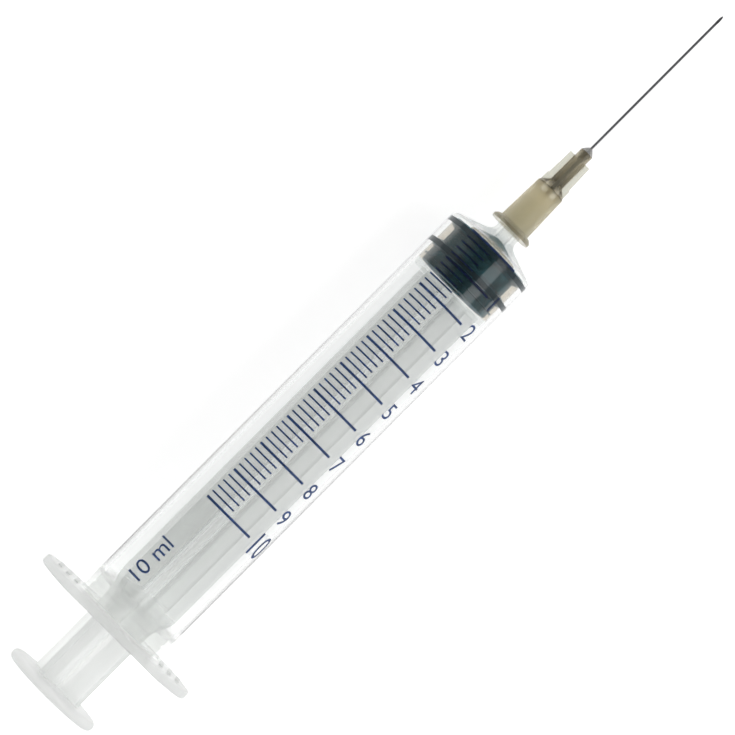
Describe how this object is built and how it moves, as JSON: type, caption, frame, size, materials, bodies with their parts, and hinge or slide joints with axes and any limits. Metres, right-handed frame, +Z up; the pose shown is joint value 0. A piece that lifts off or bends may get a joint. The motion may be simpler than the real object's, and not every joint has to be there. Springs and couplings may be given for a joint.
{
  "type": "luer slip syringe",
  "caption": "Disposable three-piece syringe with a slip tip and its needle fitted: clear barrel with finger flange, cross-ribbed plunger rod, rubber stopper.",
  "frame": {"origin": "on the surface that the syringe lies on, under the middle of its overall box", "axes": "+X lengthwise from thumb plate to needle point, +Z up; the syringe's own axis dips 2.56 degrees nose down in the XZ plane, as it comes to rest on a flat of its finger flange and the barrel's front edge"},
  "size_m": [0.1504, 0.0308, 0.024],
  "materials": {
    "clear_polypropylene": "thin natural polypropylene, clear with a slight milky haze, polished",
    "navy_ink": "screen-printed dark blue ink",
    "dark_rubber": "dark grey-green rubber, slightly glossy with silicone",
    "natural_polypropylene": "natural polypropylene, milky and translucent",
    "brown_hub_plastic": "translucent olive-brown plastic, the colour of a 26 gauge needle",
    "clear_adhesive": "cured clear adhesive, greyish white",
    "needle_steel": "drawn and polished stainless steel"
  },
  "bodies": {
    "barrel_body": {"barrel": "clear_polypropylene", "scale_marks": "navy_ink"},
    "stopper_body": {"stopper": "dark_rubber"},
    "rod_body": {"plunger_rod": "natural_polypropylene"},
    "needle_body": {"needle_hub": "brown_hub_plastic", "hub_adhesive": "clear_adhesive", "needle_tube": "needle_steel"}
  },
  "joints": [
    {"name": "plunger_slide", "type": "slide", "parent": "barrel_body", "child": "stopper_body", "axis": [-0.999, 0, 0.0447], "range_m": [0, 0.0696]},
    {"name": "rod_turn", "type": "hinge", "parent": "stopper_body", "child": "rod_body", "pos_m": [0.01579, 0, 0.00861], "axis": [0.999, 0, -0.0447], "continuous": true},
    {"name": "needle_pull_off", "type": "slide", "parent": "barrel_body", "child": "needle_body", "axis": [0.999, 0, -0.0447], "range_m": [0, 0.012]}
  ]
}
